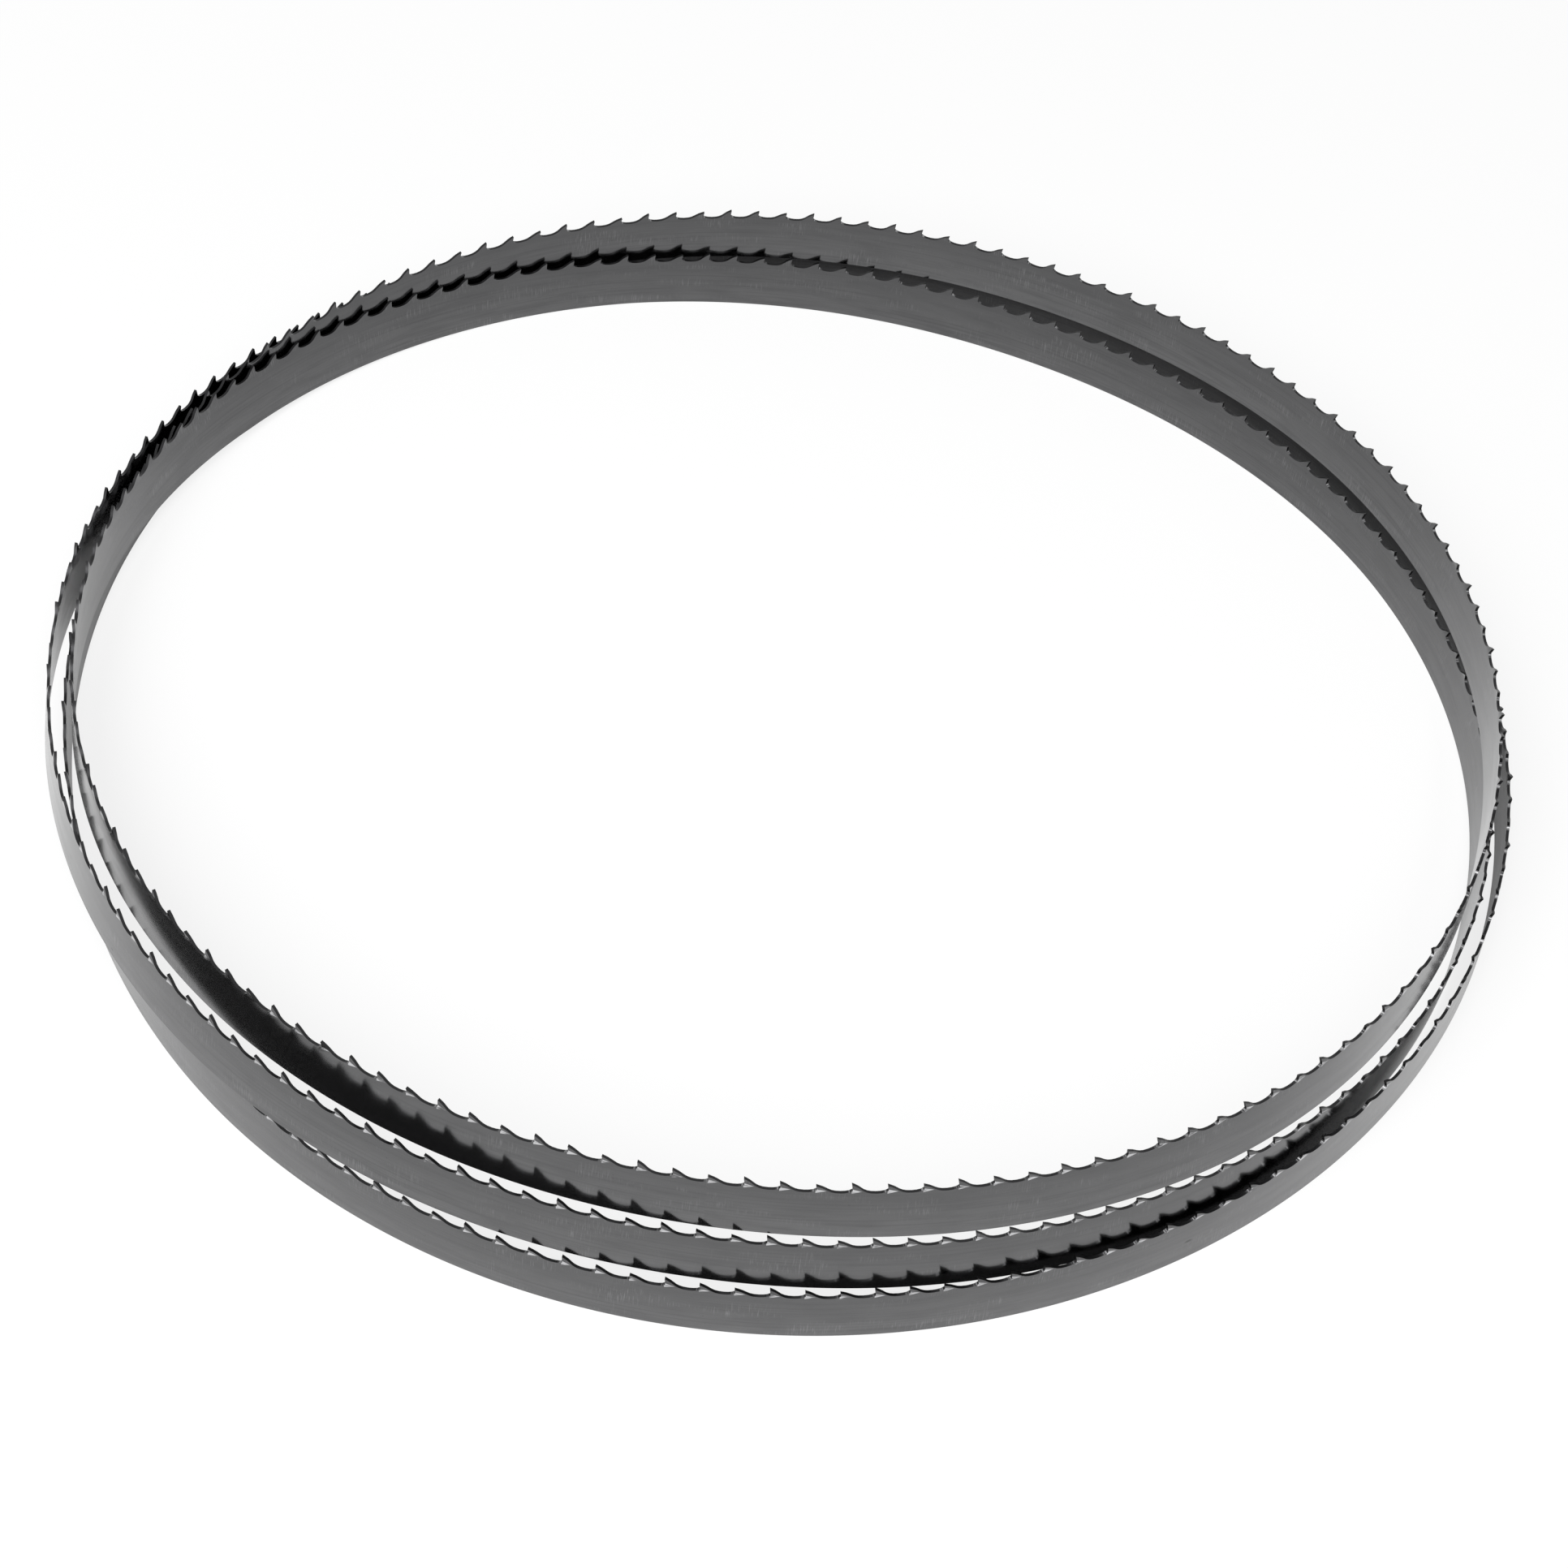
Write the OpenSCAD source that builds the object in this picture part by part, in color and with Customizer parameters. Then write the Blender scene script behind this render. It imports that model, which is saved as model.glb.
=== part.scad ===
// Band saw blade, laid down off the saw as a loose coil of three turns.
// Millimetres. The coil rests on z = 0 with its box centred on the origin, +Z is up, and its front faces -Y.
// One welded band runs counter-clockwise, seen from above, three times round, and closes on itself:
// it is on top of the stack at the front of its first turn, on the floor on its second, and
// half way up at the front of its third, so that the three stand nearly edge on edge there.

/* [Band] */
// Length of the welded band, measured round its middle line
band_length = 3658; // [2700:1:4000]
// Width of the band, from tooth tip to back edge
band_width = 19.05; // [16:0.05:22]
// Thickness of the steel
band_thickness = 0.81; // [0.65:0.01:1.1]

/* [Teeth] */
// Distance wanted from tip to tip (the tooth count is rounded to fill the band)
tooth_pitch = 8.47; // [8:0.01:16]
// Depth of a gullet below the tips
gullet_depth = 2.7; // [2:0.1:4]
// How far the cutting face of a tooth leans under its tip
hook_angle = 8; // [0:1:15]
// How far a set tooth's tip is bent out of the line of the band
tooth_set = 0.35; // [0.1:0.01:0.45]

/* [Coil] */
// Clear gap between two turns that lie a single step of the lay apart
turn_gap = 0.17; // [0.15:0.01:0.8]

/* [Hidden] */
turns = 3;
whole_lay = 360 * turns;

// The lay of the coil is two rows of stations, nine to a turn, from the front of the first turn.
// How far each station lies outside the coil's radius (inside it where negative), in steps of one
// band thickness, its set and the gap.
sway = [
    -6, 1.5, -1, 1, -11, -3, 6, -1.5, 0.5,
    -0.5, 0.5, 6.5, 7, 3, 4, 6.5, 2.5, 2,
    -4, -0.5, 2.5, 0, -11, -4.5, 3.5, -2.5, -5
];
// Height of the band's back edge above the floor at each station, in band widths.
rise = [
    1.95, 1.95, 1.45, 1.15, 1.15, 0.85, 0.1, 0, 0,
    0, 0, 0, 0, 0, 0, 0, 0.85, 1.15,
    0.95, 0.65, 0, 0, 0, 0, 0, 0.95, 1.65
];
stations = len(sway);
station_angle = whole_lay / stations;
sway_step = band_thickness + tooth_set + turn_gap;

// Weights of four neighbouring stations a share t of the way between the middle two.
function smooth(t) = [(1 - t)^3, 3 * t^3 - 6 * t^2 + 4, -3 * t^3 + 3 * t^2 + 3 * t + 1, t^3] / 6;
// Weights of the same stations for the curve's second derivative, per radian of the lay squared.
function bow(t) = [1 - t, 3 * t - 2, 1 - 3 * t, t] * (180 / PI / station_angle)^2;

// The four stations of a row around station i, wrapping at the ends.
function near(row, i) = [for (k = [-1:2]) row[(i + k + stations) % stations]];

function outset(lay) = let (u = lay / station_angle, i = floor(u)) near(sway, i) * smooth(u - i);
function lift(lay) = let (u = lay / station_angle, i = floor(u)) band_width * near(rise, i) * smooth(u - i);
function lift_bow(lay) = let (u = lay / station_angle, i = floor(u)) band_width * near(rise, i) * bow(u - i);

// Middle line of the band for a coil of radius r, at an angle of the lay.
function route(lay, r) = let (reach = r + sway_step * outset(lay))
    [reach * sin(lay), -reach * cos(lay), lift(lay)];

// Distance gone along that line at each of many even steps of angle, as [distance, angle].
marks_in_turn = 180;
mark_angle = 360 / marks_in_turn;
function marks(r) = [
    for (i = 0, gone = 0; i <= marks_in_turn * turns;
        gone = gone + norm(route((i + 1) * mark_angle % whole_lay, r) - route(i * mark_angle % whole_lay, r)),
        i = i + 1)
    [gone, i * mark_angle]
];
function line_length(r) = let (m = marks(r)) m[len(m) - 1][0];

// Radius that makes the line as long as the band: a plain circle's, less the share the sway takes up.
plain_radius = band_length / (2 * PI * turns);
coil_radius = plain_radius - (line_length(plain_radius) - band_length) / (2 * PI * turns);
coil_marks = marks(coil_radius);
coil_length = line_length(coil_radius);

// Angle of the lay at a distance along the band.
function lay_at(distance) = lookup(distance % coil_length, coil_marks) % whole_lay;

// A flat steel band can't bend in its own plane, so where its path curves up or down it has to lean:
// outwards where it starts to climb, inwards over a crest.
function lean(lay) = atan(lift_bow(lay) / (coil_radius + sway_step * outset(lay)));

// Point on the band: distance along it, height above its back edge, distance outwards from its middle.
function on_band(distance, height, out) = let (
        lay = lay_at(distance),
        tilt = lean(lay),
        across = height - band_width / 2,
        reach = coil_radius + sway_step * outset(lay) + across * sin(tilt) + out * cos(tilt),
        lower_corner = abs(sin(tilt)) * band_thickness / 2,
        level = lift(lay) + lower_corner + height * cos(tilt) - out * sin(tilt)
    )
    [reach * sin(lay), -reach * cos(lay), level];

// Teeth come in threes: set outwards, set inwards, straight.
set_order = [1, -1, 0];
teeth = len(set_order) * round(band_length / tooth_pitch / len(set_order));
spacing = coil_length / teeth;

// Tooth form from the foot of its cutting face to the gullet behind it: share of the spacing, share of
// the gullet depth, and share of the set. The tips point clockwise, so each back falls away
// counter-clockwise, and the cutting face's foot lies a little behind its tip.
face_foot = [0, 0.65, 0];
tip = [0, 0, 1];
tooth_back = [0.18, 0.3, 0.6];
gullet_start = [0.42, 0.85, 0];
gullet_floor = [0.7, 1, 0];
form = [face_foot, tip, tooth_back, gullet_start, gullet_floor];
foot_lean = face_foot[1] * gullet_depth * tan(hook_angle);
edge_points = len(form);
tooth_points = 2 * (edge_points + 1);

// Points of one tooth's length of band on one side (1 outer, -1 inner): its toothed edge, then its back edge.
function side_points(i, side) = let (set = tooth_set * set_order[i % len(set_order)]) [
    for (k = [0:edge_points - 1])
        on_band(
            (i + form[k][0]) * spacing + (k == 0 ? foot_lean : 0),
            band_width - form[k][1] * gullet_depth,
            side * band_thickness / 2 + form[k][2] * set
        ),
    on_band(i * spacing, 0, side * band_thickness / 2)
];

band_points = [for (i = [0:teeth - 1]) each [each side_points(i, 1), each side_points(i, -1)]];

// Middle of the coil's box along one axis, so that the coil can stand centred on the origin.
function box_middle(axis) = let (values = [for (p = band_points) p[axis]]) (min(values) + max(values)) / 2;

// Triangles that join tooth i to the next one. a and b are the first points of their outer sides,
// and each inner point comes one side after its outer one.
function tooth_faces(i) = let (
        a = i * tooth_points,
        b = (i + 1) % teeth * tooth_points,
        inner = edge_points + 1,
        back_a = a + edge_points,
        back_b = b + edge_points,
        edge = [for (k = [0:edge_points - 1]) a + k, b],
        foot = edge[0],
        top = edge[1],
        heel = edge[2],
        gullet = edge[3],
        low = edge[4],
        next_foot = edge[5],
        outer_side = [
            [foot, top, heel],
            [back_a, foot, heel],
            [back_a, heel, gullet],
            [back_a, gullet, back_b],
            [back_b, gullet, low],
            [back_b, low, next_foot]
        ]
    )
    [
        each outer_side,
        for (f = outer_side) [f[0] + inner, f[2] + inner, f[1] + inner],
        for (k = [0:edge_points - 1]) each [
            [edge[k], edge[k] + inner, edge[k + 1]],
            [edge[k + 1], edge[k] + inner, edge[k + 1] + inner]
        ],
        [back_a, back_b, back_a + inner],
        [back_b, back_b + inner, back_a + inner]
    ];

module blade() {
    color([0.4, 0.4, 0.41])
        translate([-box_middle(0), -box_middle(1), 0])
            polyhedron(
                points = band_points,
                faces = [for (i = [0:teeth - 1]) each tooth_faces(i)],
                convexity = 12
            );
}

blade();
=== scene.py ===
"""Band saw blade: a finer copy of the welded band in its three-turn coil, dressed as rolled steel with painted shade
on its upper part, toothed edge and dents, and painted glints at its set teeth.
"""

import logging
import math
from dataclasses import dataclass, field
from enum import Enum

import bmesh
import bpy
import numpy as np
from mathutils import Matrix, Vector


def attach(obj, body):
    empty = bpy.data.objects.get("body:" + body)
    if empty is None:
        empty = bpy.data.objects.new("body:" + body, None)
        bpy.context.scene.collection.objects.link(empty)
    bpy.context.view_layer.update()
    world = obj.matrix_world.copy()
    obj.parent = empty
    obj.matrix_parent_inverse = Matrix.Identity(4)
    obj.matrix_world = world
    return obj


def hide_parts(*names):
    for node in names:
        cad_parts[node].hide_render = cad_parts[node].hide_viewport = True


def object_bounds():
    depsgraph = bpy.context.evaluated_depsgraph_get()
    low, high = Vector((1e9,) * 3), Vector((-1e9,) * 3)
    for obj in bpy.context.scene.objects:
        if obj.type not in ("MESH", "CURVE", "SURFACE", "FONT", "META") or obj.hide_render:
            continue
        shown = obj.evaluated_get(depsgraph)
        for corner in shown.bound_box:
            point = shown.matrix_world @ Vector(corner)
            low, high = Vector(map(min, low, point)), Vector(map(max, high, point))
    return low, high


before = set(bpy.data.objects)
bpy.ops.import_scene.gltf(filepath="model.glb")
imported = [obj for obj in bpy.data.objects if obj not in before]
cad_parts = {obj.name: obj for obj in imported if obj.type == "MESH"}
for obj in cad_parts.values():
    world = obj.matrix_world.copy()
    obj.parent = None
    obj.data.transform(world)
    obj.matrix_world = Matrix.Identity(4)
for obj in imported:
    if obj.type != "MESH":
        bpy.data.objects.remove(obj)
CAD_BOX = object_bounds()

LOG = logging.getLogger("band_saw_blade")
TURNS = 3


class ToothSet(Enum):
    """Which way a tooth's tip is bent out of the line of the band."""

    OUTWARDS = 1
    INWARDS = -1
    STRAIGHT = 0


@dataclass(frozen=True)
class BandStock:
    """The steel strip before it is coiled, in metres."""

    length: float = 3.658
    width: float = 0.01905
    thickness: float = 0.00081
    corner_radius: float = 0.00015


@dataclass(frozen=True)
class HookTooth:
    """The form of one tooth: each outline point is a share of the spacing and a share of the gullet depth."""

    wanted_pitch: float = 0.00847
    gullet_depth: float = 0.0027
    hook_angle: float = math.radians(8)
    set_offset: float = 0.00035
    set_order: tuple[ToothSet, ...] = (ToothSet.OUTWARDS, ToothSet.INWARDS, ToothSet.STRAIGHT)
    foot_depth: float = 0.65
    root_depth: float = 1.4
    tooth_back: tuple[tuple[float, float], ...] = ((0.0, 0.0), (0.09, 0.14), (0.18, 0.3), (0.26, 0.49))
    gullet: tuple[tuple[float, float], ...] = (
        (0.34, 0.69),
        (0.44, 0.87),
        (0.55, 0.97),
        (0.7, 1.0),
        (0.83, 0.96),
        (0.94, 0.86),
    )

    @property
    def foot_lean(self) -> float:
        """How far the foot of the cutting face lies behind its tip."""
        return self.foot_depth * self.gullet_depth * math.tan(self.hook_angle)

    def set_share(self, depth: np.ndarray) -> np.ndarray:
        """Share of the set that a point at this depth below the tips takes."""
        return np.clip(1 - depth / (self.foot_depth * self.gullet_depth), 0, 1)


@dataclass
class CoilLay:
    """The path of the band's middle line through three turns, in metres.

    The stations are evenly spaced round the three turns from the front of the first one.
    """

    stock: BandStock
    set_offset: float
    turn_gap: float = 0.00017
    sway: tuple[float, ...] = (
        -6, 1.5, -1, 1, -11, -3, 6, -1.5, 0.5,
        -0.5, 0.5, 6.5, 7, 3, 4, 6.5, 2.5, 2,
        -4, -0.5, 2.5, 0, -11, -4.5, 3.5, -2.5, -5,
    )
    rise: tuple[float, ...] = (
        1.95, 1.95, 1.45, 1.15, 1.15, 0.85, 0.1, 0, 0,
        0, 0, 0, 0, 0, 0, 0, 0.85, 1.15,
        0.95, 0.65, 0, 0, 0, 0, 0, 0.95, 1.65,
    )
    samples: int = 180 * TURNS
    radius: float = field(init=False)
    marks: np.ndarray = field(init=False)
    angles: np.ndarray = field(init=False)

    def __post_init__(self) -> None:
        """Finds the radius at which the path is as long as the band."""
        self.angles = np.linspace(0, 2 * math.pi * TURNS, self.samples + 1)
        plain = self.stock.length / (2 * math.pi * TURNS)
        self.radius = plain
        excess = self._measure()[-1] - self.stock.length
        self.radius = plain - excess / (2 * math.pi * TURNS)
        self.marks = self._measure()

    @property
    def length(self) -> float:
        """Length of the closed path."""
        return float(self.marks[-1])

    def _measure(self) -> np.ndarray:
        """Distance gone along the path at each sample angle."""
        reach = self.reach(self.angles)
        path = np.stack([reach * np.sin(self.angles), -reach * np.cos(self.angles), self.lift(self.angles)], -1)
        return np.r_[0, np.cumsum(np.linalg.norm(np.diff(path, axis=0), axis=1))]

    def _blend(self, row: tuple[float, ...], angle: np.ndarray, bow: bool = False) -> np.ndarray:
        """Smooth value of a row of stations at an angle, or its second derivative per radian squared.

        Args:
            row: the stations' values.
            angle: angles of the lay, in radians.
            bow: whether the second derivative is wanted.

        Returns:
            One value per angle.
        """
        step = 2 * math.pi * TURNS / len(row)
        place = angle / step
        first = np.floor(place).astype(int)
        t = place - first
        if bow:
            weights = np.stack([1 - t, 3 * t - 2, 1 - 3 * t, t]) / step**2
        else:
            weights = np.stack([(1 - t) ** 3, 3 * t**3 - 6 * t**2 + 4, -3 * t**3 + 3 * t**2 + 3 * t + 1, t**3]) / 6
        values = np.asarray(row, float)
        near = np.stack([values[(first + k) % len(row)] for k in (-1, 0, 1, 2)])
        return (weights * near).sum(0)

    def reach(self, angle: np.ndarray) -> np.ndarray:
        """Distance of the band's middle line from the coil's axis."""
        step = self.stock.thickness + self.set_offset + self.turn_gap
        return self.radius + step * self._blend(self.sway, angle)

    def lift(self, angle: np.ndarray) -> np.ndarray:
        """Height of the back edge above the floor."""
        return self.stock.width * self._blend(self.rise, angle)

    def lean(self, angle: np.ndarray) -> np.ndarray:
        """Outward lean of the band, which follows from its lift because it can't bend in its own plane."""
        return np.arctan(self.stock.width * self._blend(self.rise, angle, bow=True) / self.reach(angle))

    def place(self, along: np.ndarray, out: np.ndarray, height: np.ndarray) -> np.ndarray:
        """Points of the coil for points of the flat strip.

        Args:
            along: distance along the strip.
            out: distance outwards from its middle plane.
            height: height above its back edge.

        Returns:
            One row of x, y and z per point.
        """
        angle = np.interp(along % self.length, self.marks, self.angles)
        lean = self.lean(angle)
        reach = self.reach(angle) + (height - self.stock.width / 2) * np.sin(lean) + out * np.cos(lean)
        corner = np.abs(np.sin(lean)) * self.stock.thickness / 2
        level = self.lift(angle) + corner + height * np.cos(lean) - out * np.sin(lean)
        return np.stack([reach * np.sin(angle), -reach * np.cos(angle), level], -1)


@dataclass(frozen=True)
class BandSteel:
    """Grey rolled strip with fine lengthwise lines, painted shade towards its teeth, near-black painted shade on the
    toothed edge round the gullets and in dents, and small painted glints at the set teeth.
    """

    grey: tuple[float, float, float, float] = (0.144, 0.144, 0.146, 1)
    # Dull colour: the steel's own clouds, streaks and lines, and also the painted shade towards the teeth.
    dull_and_shade: tuple[float, float, float, float] = (0.092, 0.092, 0.094, 1)
    scuffed: tuple[float, float, float, float] = (0.27, 0.27, 0.275, 1)
    # Near-black colour of the painted shade on the toothed edge and in the dents; the steel's dark specks use it
    # too.
    edge_shade: tuple[float, float, float, float] = (0.03, 0.03, 0.031, 1)
    # Colour of the painted glints at the bend of the set teeth.
    painted_glint: tuple[float, float, float, float] = (0.5, 0.5, 0.51, 1)
    # Share of painted shade towards the toothed edge: the band is painted darker at the top.
    painted_shade_to_teeth: float = 0.8
    # Painted glints below the tips of the set teeth: length as a share of the spacing, height in metres, depth as a
    # share of the gullet depth.
    glint_length: float = 0.32
    glint_height: float = 0.0008
    glint_depth: float = 0.74
    # Small dents, shown only as painted shade: place along the strip, height and reach, in metres.
    shaded_dents: tuple[tuple[float, float, float], ...] = (
        (1.3373, 0.0076, 0.0013),
        (2.2454, 0.006, 0.0014),
        (2.2763, 0.0023, 0.0008),
    )
    roughness: float = 0.16
    line_relief: float = 0.000006

    def make(self, spacing: float, stock: BandStock, tooth: HookTooth) -> bpy.types.Material:
        """Builds the material.

        Args:
            spacing: distance from tip to tip, in metres.
            stock: the strip's sizes.
            tooth: the tooth form.

        Returns:
            The new material.
        """
        material = bpy.data.materials.new("band_steel")
        material.use_nodes = True
        tree = material.node_tree
        nodes, links = tree.nodes, tree.links
        shader = nodes["Principled BSDF"]
        shader.inputs["Metallic"].default_value = 1.0

        def node(kind: str, **values: object) -> bpy.types.Node:
            """Adds a node and sets its plain properties."""
            made = nodes.new(kind)
            for name, value in values.items():
                setattr(made, name, value)
            return made

        def math_node(operation: str, first: object, second: object, clamp: bool = False) -> bpy.types.NodeSocket:
            """Adds a math node on two sockets or numbers and returns its output."""
            made = node("ShaderNodeMath", operation=operation, use_clamp=clamp)
            for socket, value in zip(made.inputs, (first, second)):
                if isinstance(value, bpy.types.NodeSocket):
                    links.new(value, socket)
                else:
                    socket.default_value = value
            return made.outputs[0]

        def blend(share: bpy.types.NodeSocket, first: object, second: object) -> bpy.types.NodeSocket:
            """Mixes two colours, each a socket or a value, by a share."""
            made = node("ShaderNodeMix", data_type="RGBA")
            links.new(share, made.inputs["Factor"])
            for socket, value in zip((made.inputs[6], made.inputs[7]), (first, second)):
                if isinstance(value, bpy.types.NodeSocket):
                    links.new(value, socket)
                else:
                    socket.default_value = value
            return made.outputs[2]

        def noise(scale: tuple[float, float, float], detail: float = 3.0) -> bpy.types.NodeSocket:
            """Noise on the strip's own length and height, stretched by the scale."""
            stretch = node("ShaderNodeMapping")
            stretch.inputs["Scale"].default_value = scale
            links.new(strip.outputs["UV"], stretch.inputs["Vector"])
            made = node("ShaderNodeTexNoise")
            made.inputs["Scale"].default_value = 1.0
            made.inputs["Detail"].default_value = detail
            links.new(stretch.outputs["Vector"], made.inputs["Vector"])
            return made.outputs["Fac"]

        def steepen(value: bpy.types.NodeSocket, low: float, high: float) -> bpy.types.NodeSocket:
            """Maps low to 0 and high to 1, with the ends held."""
            made = node("ShaderNodeMapRange")
            made.inputs["From Min"].default_value = low
            made.inputs["From Max"].default_value = high
            links.new(value, made.inputs["Value"])
            return made.outputs["Result"]

        strip = node("ShaderNodeUVMap", uv_map="strip")
        parts = node("ShaderNodeSeparateXYZ")
        links.new(strip.outputs["UV"], parts.inputs[0])
        along, height = parts.outputs["X"], parts.outputs["Y"]

        lines = noise((30.0, 9000.0, 1.0))
        streaks = noise((14.0, 1300.0, 1.0))
        clouds = noise((60.0, 330.0, 1.0), detail=5.0)
        specks = noise((1500.0, 2200.0, 1.0), detail=1.0)
        scratches = noise((3100.0, 190.0, 1.0), detail=4.0)
        worn = noise((45.0, 150.0, 1.0), detail=2.0)
        up = math_node("DIVIDE", height, stock.width)
        # Painted shade: the steel is mixed towards its dull colour the nearer it is to the toothed edge.
        tone = blend(math_node("MULTIPLY", up, self.painted_shade_to_teeth), self.grey, self.dull_and_shade)
        # Clouds, streaks and lines are the steel's own tone, mixed towards the same dull colour.
        tone = blend(math_node("MULTIPLY", steepen(clouds, 0.42, 0.68), 0.5), tone, self.dull_and_shade)
        tone = blend(math_node("MULTIPLY", steepen(streaks, 0.5, 0.68), 0.5), tone, self.dull_and_shade)
        tone = blend(math_node("MULTIPLY", steepen(lines, 0.45, 0.7), 0.3), tone, self.dull_and_shade)
        # Dark specks, the steel's own, take the same near-black colour as the painted edge shade.
        tone = blend(math_node("MULTIPLY", steepen(specks, 0.74, 0.8), 0.5), tone, self.edge_shade)
        scuff = math_node("MULTIPLY", steepen(scratches, 0.54, 0.68), steepen(worn, 0.5, 0.64))
        tone = blend(math_node("MULTIPLY", scuff, 0.4), tone, self.scuffed)
        # Painted shade in each dent's hollow: the colour is mixed towards near black inside an ellipse half as tall
        # as it is long.
        for place, level, reach in self.shaded_dents:
            beside = math_node("DIVIDE", math_node("SUBTRACT", along, place), reach)
            above = math_node("DIVIDE", math_node("SUBTRACT", height, level), 0.5 * reach)
            away = math_node("ADD", math_node("POWER", math_node("ABSOLUTE", beside, 0.0), 2.0),
                             math_node("POWER", math_node("ABSOLUTE", above, 0.0), 2.0))
            near = math_node("SUBTRACT", 1.0, steepen(away, 0.2, 1.0))
            tone = blend(math_node("MULTIPLY", near, 0.7), tone, self.edge_shade)

        # Painted highlight: a small bright wedge at the bend of each set tooth, on the outer faces only and shown in
        # patches.
        tooth_place = math_node("DIVIDE", along, spacing)
        within = math_node("FRACT", tooth_place, 0.0)
        depth = math_node("SUBTRACT", stock.width, height)
        under = math_node("ABSOLUTE", math_node("SUBTRACT", depth, tooth.gullet_depth * self.glint_depth), 0.0)
        taper = math_node("MULTIPLY", math_node("DIVIDE", within, self.glint_length), self.glint_height)
        spread = math_node("SUBTRACT", self.glint_height, taper)
        glint = steepen(math_node("SUBTRACT", spread, under), 0.0, 0.0001)
        glint_patches = steepen(noise((330.0, 1100.0, 1.0)), 0.34, 0.55)
        outside = node("ShaderNodeAttribute", attribute_name="outer_face")
        shown = math_node("MULTIPLY", glint_patches, outside.outputs["Fac"])
        tone = blend(math_node("MULTIPLY", glint, shown), tone, self.painted_glint)

        # Painted shade: the faces of the toothed edge round the gullets are painted near black, with paler rubbed
        # patches near each gullet's end.
        edge_shade = node("ShaderNodeAttribute", attribute_name="edge_shade_mask")
        rubbed = math_node("MULTIPLY", steepen(within, 0.88, 0.94), steepen(noise((2500.0, 2500.0, 1.0)), 0.42, 0.6))
        tone = blend(edge_shade.outputs["Fac"], tone, blend(rubbed, self.edge_shade, self.scuffed))
        links.new(tone, shader.inputs["Base Color"])

        rough = math_node("ADD", math_node("MULTIPLY", clouds, 0.12), self.roughness - 0.06)
        rough = math_node("ADD", rough, math_node("MULTIPLY", edge_shade.outputs["Fac"], 0.2))
        links.new(rough, shader.inputs["Roughness"])

        bump = node("ShaderNodeBump")
        bump.inputs["Strength"].default_value = 0.35
        bump.inputs["Distance"].default_value = self.line_relief
        links.new(lines, bump.inputs["Height"])
        links.new(bump.outputs["Normal"], shader.inputs["Normal"])
        return material


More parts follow.
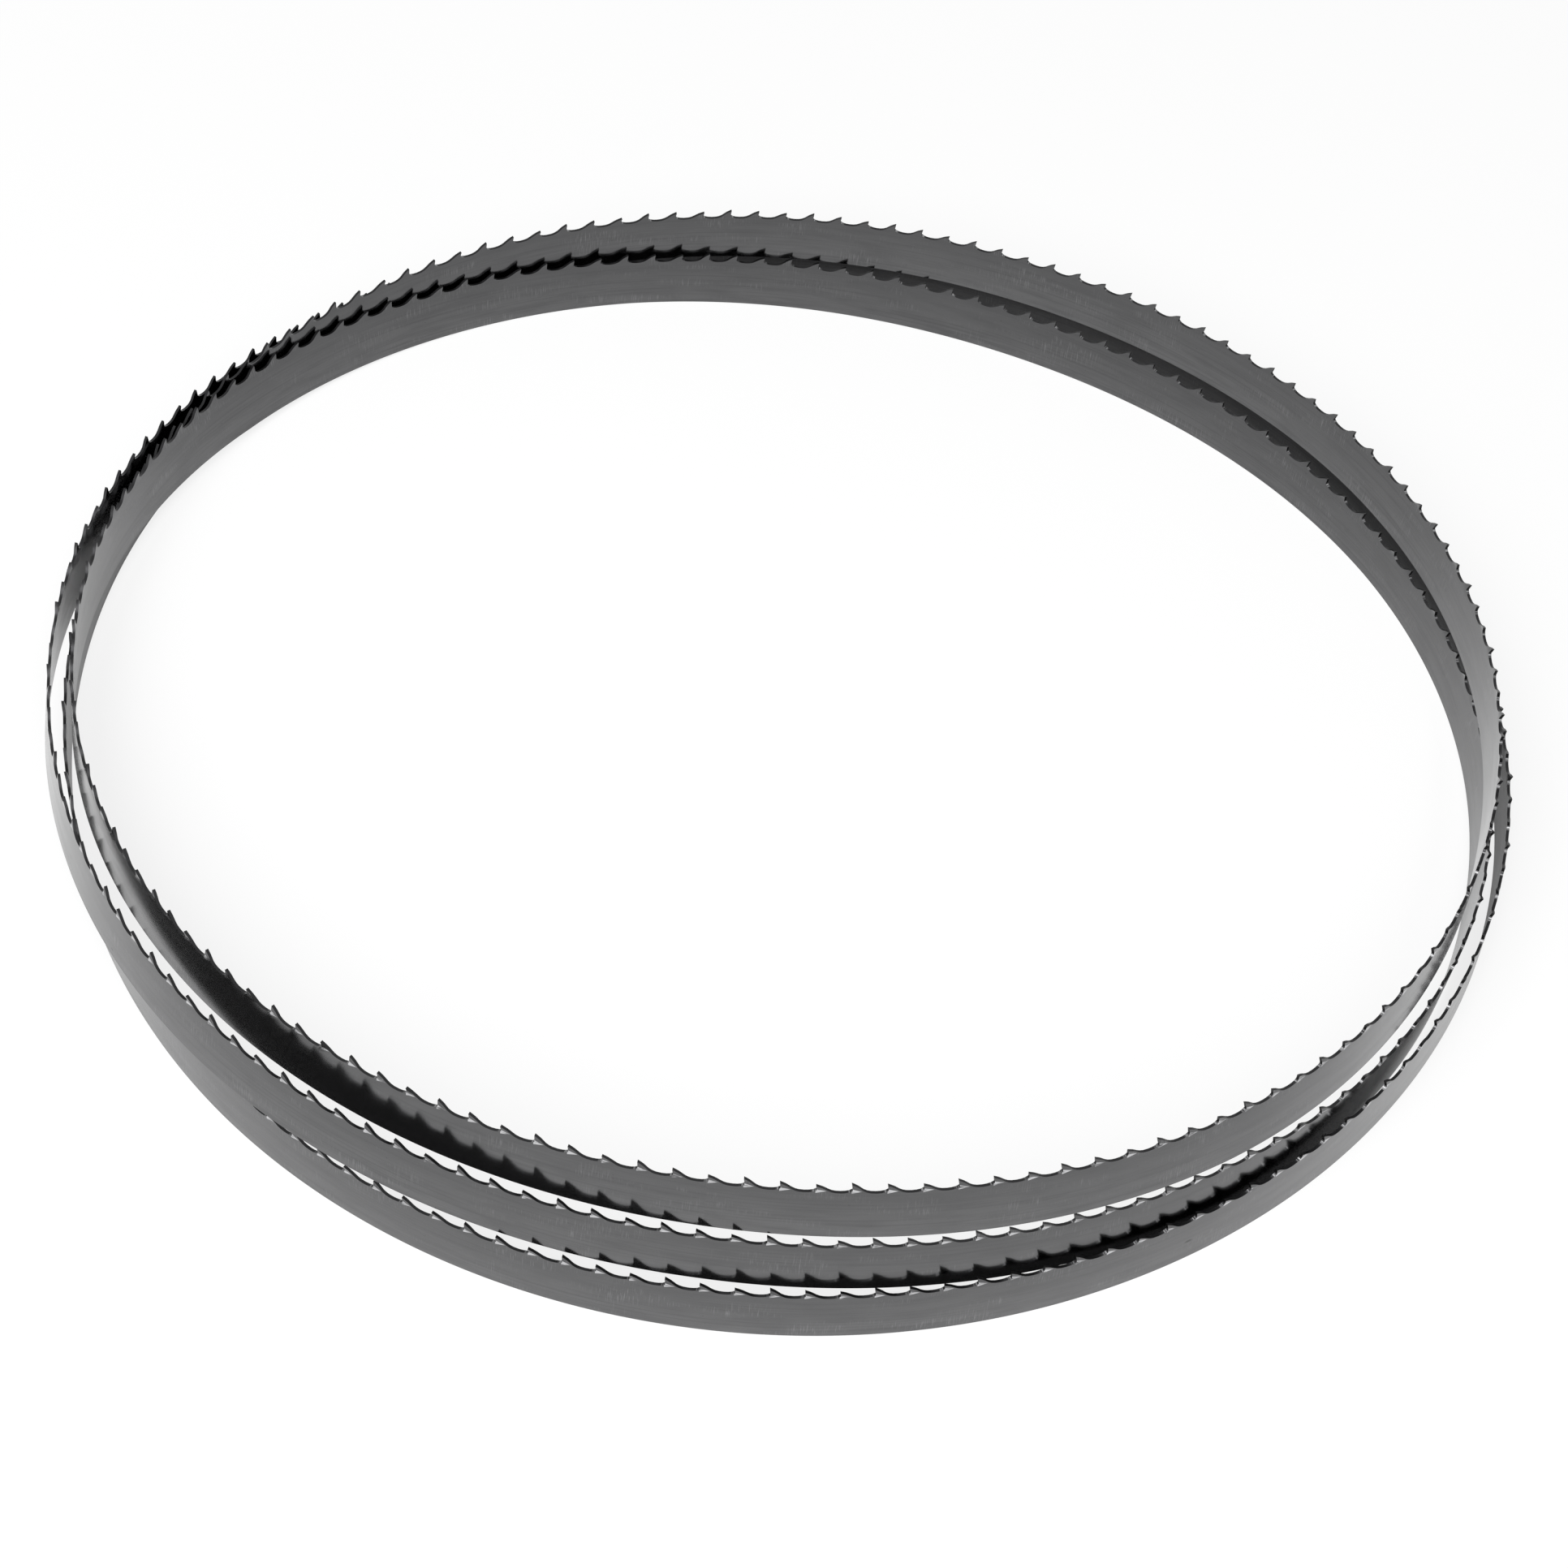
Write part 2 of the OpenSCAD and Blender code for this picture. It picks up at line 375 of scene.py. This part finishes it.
@dataclass
class WeldedBand:
    """The one piece of the product: the toothed strip, welded into a loop and laid in its coil."""

    stock: BandStock = field(default_factory=BandStock)
    tooth: HookTooth = field(default_factory=HookTooth)
    steel: BandSteel = field(default_factory=BandSteel)
    lay: CoilLay = field(init=False)
    teeth: int = field(init=False)
    spacing: float = field(init=False)

    def __post_init__(self) -> None:
        """Lays the coil and shares its length among whole groups of set teeth."""
        self.lay = CoilLay(self.stock, self.tooth.set_offset)
        group = len(self.tooth.set_order)
        self.teeth = group * round(self.stock.length / self.tooth.wanted_pitch / group)
        self.spacing = self.lay.length / self.teeth

    def _corner(self, mesh: bmesh.types.BMesh, share: float, drop: float, lean: float = 0.0) -> bmesh.types.BMVert:
        """Puts a vertex of the flat sheet at a share of the spacing and a share of the gullet depth."""
        return mesh.verts.new((share * self.spacing + lean, 0, self.stock.width - drop * self.tooth.gullet_depth))

    def _one_tooth(self, mesh: bmesh.types.BMesh) -> None:
        """Draws one tooth's length of strip as a flat sheet, from its outline downwards."""
        form = self.tooth
        foot, next_foot = (self._corner(mesh, place, form.foot_depth, form.foot_lean) for place in (0, 1))
        gullet = [self._corner(mesh, *point) for point in form.gullet]
        point = [self._corner(mesh, *corner) for corner in form.tooth_back]
        mesh.faces.new([foot, *point, gullet[0]])
        bmesh.ops.triangulate(mesh, faces=mesh.faces)
        line = [foot, *gullet, next_foot]
        edges = [mesh.edges.get(pair) or mesh.edges.new(pair) for pair in zip(line, line[1:])]
        root = self.stock.width - form.root_depth * form.gullet_depth
        for level in (root, 0.0):
            grown = bmesh.ops.extrude_edge_only(mesh, edges=edges)["geom"]
            low = sorted((v for v in grown if isinstance(v, bmesh.types.BMVert)), key=lambda v: v.co.x)
            edges = [e for e in grown if isinstance(e, bmesh.types.BMEdge) and all(v in low for v in e.verts)]
            for place, vert in enumerate(low):
                vert.co.x = self.spacing * place / (len(low) - 1)
                vert.co.z = level

    def _flat_strip(self) -> bmesh.types.BMesh:
        """Repeats the tooth along the strip and gives the sheet its thickness."""
        mesh = bmesh.new()
        self._one_tooth(mesh)
        first = list(mesh.verts) + list(mesh.edges) + list(mesh.faces)
        for place in range(1, self.teeth):
            copy = bmesh.ops.duplicate(mesh, geom=first)["geom"]
            moved = [v for v in copy if isinstance(v, bmesh.types.BMVert)]
            bmesh.ops.translate(mesh, verts=moved, vec=(place * self.spacing, 0, 0))
        bmesh.ops.remove_doubles(mesh, verts=mesh.verts, dist=1e-6)
        bmesh.ops.translate(mesh, verts=mesh.verts, vec=(0, -self.stock.thickness / 2, 0))
        wall = bmesh.ops.extrude_face_region(mesh, geom=list(mesh.faces))["geom"]
        bmesh.ops.translate(
            mesh, verts=[v for v in wall if isinstance(v, bmesh.types.BMVert)], vec=(0, self.stock.thickness, 0)
        )
        bmesh.ops.delete(mesh, geom=self._end_walls(mesh), context="FACES")
        bmesh.ops.recalc_face_normals(mesh, faces=mesh.faces)
        corners = [
            e
            for e in mesh.edges
            if all(v.co.z < 1e-7 for v in e.verts) and abs(e.verts[0].co.y - e.verts[1].co.y) < 1e-7
        ]
        bmesh.ops.bevel(
            mesh,
            geom=corners,
            offset=self.stock.corner_radius,
            segments=1,
            profile=0.5,
            affect="EDGES",
            material=-1,
        )
        return mesh

    def _end_walls(self, mesh: bmesh.types.BMesh) -> list[bmesh.types.BMFace]:
        """Finds the walls that close the flat strip's two ends, which are welded to each other."""
        form = self.tooth
        slack = 1e-6
        first = form.foot_lean + slack
        last = self.lay.length - slack
        foot = self.stock.width - form.foot_depth * form.gullet_depth + slack
        low = [f for f in mesh.faces if all(v.co.z < foot for v in f.verts)]
        return [f for f in low if all(v.co.x < first for v in f.verts) or all(v.co.x > last for v in f.verts)]

    def _mark_surfaces(self, mesh: bmesh.types.BMesh) -> None:
        """Writes the strip's own coordinates, the mask of its toothed edge that gets painted shade and the mask of
        its outer face to the mesh, and keeps its arrises sharp.
        """
        strip = mesh.loops.layers.uv.new("strip")
        # Mask of the toothed edge's faces, which get painted shade.
        edge_shade = mesh.faces.layers.float.new("edge_shade_mask")
        outer = mesh.faces.layers.float.new("outer_face")
        root = self.stock.width - self.tooth.root_depth * self.tooth.gullet_depth
        for face in mesh.faces:
            face.smooth = True
            toothed = abs(face.normal.y) < 0.5 and all(v.co.z > root for v in face.verts)
            face[edge_shade] = 1.0 if toothed else 0.0
            face[outer] = 1.0 if all(v.co.y > 0 for v in face.verts) else 0.0
            for loop in face.loops:
                loop[strip].uv = (loop.vert.co.x, loop.vert.co.z)
        for edge in mesh.edges:
            if len(edge.link_faces) == 2 and edge.calc_face_angle() > math.radians(40):
                edge.smooth = False

    def _coil(self, mesh: bmesh.types.BMesh) -> None:
        """Bends the set teeth aside and the strip along its lay, and welds its ends."""
        verts = list(mesh.verts)
        flat = np.array([v.co for v in verts])
        tooth_number = np.floor(flat[:, 0] / self.spacing + 0.3).astype(int)
        order = np.array([choice.value for choice in self.tooth.set_order])
        side = order[tooth_number % self.teeth % len(order)]
        bent = side * self.tooth.set_offset * self.tooth.set_share(self.stock.width - flat[:, 2])
        coiled = self.lay.place(flat[:, 0], flat[:, 1] + bent, flat[:, 2])
        middle = (coiled.min(0) + coiled.max(0)) / 2
        low, high = CAD_BOX
        coiled[:, :2] += (np.array((low + high) / 2) - middle)[:2]
        for vert, place in zip(verts, coiled):
            vert.co = place
        bmesh.ops.remove_doubles(mesh, verts=mesh.verts, dist=2e-6)

    def build(self) -> bpy.types.Object:
        """Makes the band and puts it in the place of its CAD node."""
        mesh = self._flat_strip()
        self._mark_surfaces(mesh)
        self._coil(mesh)
        bmesh.ops.recalc_face_normals(mesh, faces=mesh.faces)
        open_edges = sum(1 for e in mesh.edges if len(e.link_faces) != 2)
        data = bpy.data.meshes.new("welded_band")
        mesh.to_mesh(data)
        mesh.free()
        band = bpy.data.objects.new("welded_band", data)
        bpy.context.scene.collection.objects.link(band)
        data.materials.append(self.steel.make(self.spacing, self.stock, self.tooth))
        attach(band, "root")
        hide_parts("blade")
        LOG.info("welded band: %d teeth, %d faces, %d open edges", self.teeth, len(data.polygons), open_edges)
        return band


@dataclass(frozen=True)
class Studio:
    """A white table under an even white sky, and the camera at the photograph's place."""

    look_at: tuple[float, float, float] = (0.0025, -0.0259, 0.01)
    azimuth: float = math.radians(1.3)
    elevation: float = math.radians(48.4)
    distance: float = 0.983
    roll: float = math.radians(6.13)
    lens: float = 82.7
    table_size: float = 30.0
    shown_white: float = 0.78
    mirrored_white: float = 0.06
    sky_strength: float = 0.32

    def _table(self) -> None:
        """Lays the white table, which shows white to the camera and keeps the coil's soft shadow."""
        bpy.ops.mesh.primitive_plane_add(size=self.table_size, location=(0, 0, 0))
        table = bpy.context.object
        table.name = "table"
        finish = bpy.data.materials.new("table_white")
        finish.use_nodes = True
        tree = finish.node_tree
        shader = tree.nodes["Principled BSDF"]
        shader.inputs["Base Color"].default_value = (0.93, 0.93, 0.93, 1)
        shader.inputs["Roughness"].default_value = 1.0
        shader.inputs["Specular IOR Level"].default_value = 0.0
        white = tree.nodes.new("ShaderNodeEmission")
        white.inputs["Strength"].default_value = 1.0
        rays = tree.nodes.new("ShaderNodeLightPath")
        shares = []
        for ray, share in (("Is Camera Ray", self.shown_white), ("Is Glossy Ray", self.mirrored_white)):
            scaled = tree.nodes.new("ShaderNodeMath")
            scaled.operation = "MULTIPLY"
            scaled.inputs[1].default_value = share
            tree.links.new(rays.outputs[ray], scaled.inputs[0])
            shares.append(scaled.outputs[0])
        total = tree.nodes.new("ShaderNodeMath")
        total.use_clamp = True
        mixed = tree.nodes.new("ShaderNodeMixShader")
        for number, share in enumerate(shares):
            tree.links.new(share, total.inputs[number])
        tree.links.new(total.outputs[0], mixed.inputs["Fac"])
        tree.links.new(shader.outputs[0], mixed.inputs[1])
        tree.links.new(white.outputs[0], mixed.inputs[2])
        tree.links.new(mixed.outputs[0], tree.nodes["Material Output"].inputs["Surface"])
        table.data.materials.append(finish)

    def _sky(self) -> None:
        """Lights the scene with an even white sky."""
        world = bpy.data.worlds.new("studio_sky")
        world.use_nodes = True
        bpy.context.scene.world = world
        background = world.node_tree.nodes["Background"]
        background.inputs["Color"].default_value = (1, 1, 1, 1)
        rays = world.node_tree.nodes.new("ShaderNodeLightPath")
        seen = world.node_tree.nodes.new("ShaderNodeMath")
        seen.use_clamp = True
        level = world.node_tree.nodes.new("ShaderNodeMapRange")
        level.inputs["To Min"].default_value = self.sky_strength
        for number, ray in enumerate(("Is Camera Ray", "Is Glossy Ray")):
            world.node_tree.links.new(rays.outputs[ray], seen.inputs[number])
        world.node_tree.links.new(seen.outputs[0], level.inputs["Value"])
        world.node_tree.links.new(level.outputs["Result"], background.inputs["Strength"])

    def _lamp(self, name: str, place: tuple[float, float, float], size: float, watts: float) -> None:
        """Hangs a square soft lamp that looks at the coil."""
        light = bpy.data.lights.new(name, "AREA")
        light.size = size
        light.energy = watts
        lamp = bpy.data.objects.new(name, light)
        lamp.location = place
        lamp.rotation_euler = (-Vector(place)).to_track_quat("-Z", "Y").to_euler()
        bpy.context.scene.collection.objects.link(lamp)

    def _camera(self) -> None:
        """Sets the camera at the photograph's viewing angle, with its slight roll."""
        data = bpy.data.cameras.new("photo_camera")
        data.lens = self.lens
        data.sensor_width = 36.0
        data.clip_start = 0.01
        camera = bpy.data.objects.new("photo_camera", data)
        back = Vector(
            (
                math.sin(self.azimuth) * math.cos(self.elevation),
                -math.cos(self.azimuth) * math.cos(self.elevation),
                math.sin(self.elevation),
            )
        )
        right = Vector((math.cos(self.azimuth), math.sin(self.azimuth), 0))
        up = back.cross(right)
        rolled_right = right * math.cos(self.roll) + up * math.sin(self.roll)
        rolled_up = up * math.cos(self.roll) - right * math.sin(self.roll)
        turn = Matrix((rolled_right, rolled_up, back)).transposed().to_4x4()
        camera.matrix_world = Matrix.Translation(Vector(self.look_at) + back * self.distance) @ turn
        bpy.context.scene.collection.objects.link(camera)
        bpy.context.scene.camera = camera

    def build(self) -> None:
        """Sets up the table, the lights and the camera."""
        self._table()
        self._sky()
        self._lamp("front_softbox", (-0.3, -1.3, 1.7), 1.8, 60.0)
        self._camera()
        scene = bpy.context.scene
        scene.view_settings.view_transform = "Standard"
        LOG.info("studio: camera %.0f mm from the coil", self.distance * 1000)


def main() -> None:
    """Builds the band and the studio round it."""
    logging.basicConfig(level=logging.INFO)
    WeldedBand().build()
    Studio().build()


if __name__ == "__main__":
    main()
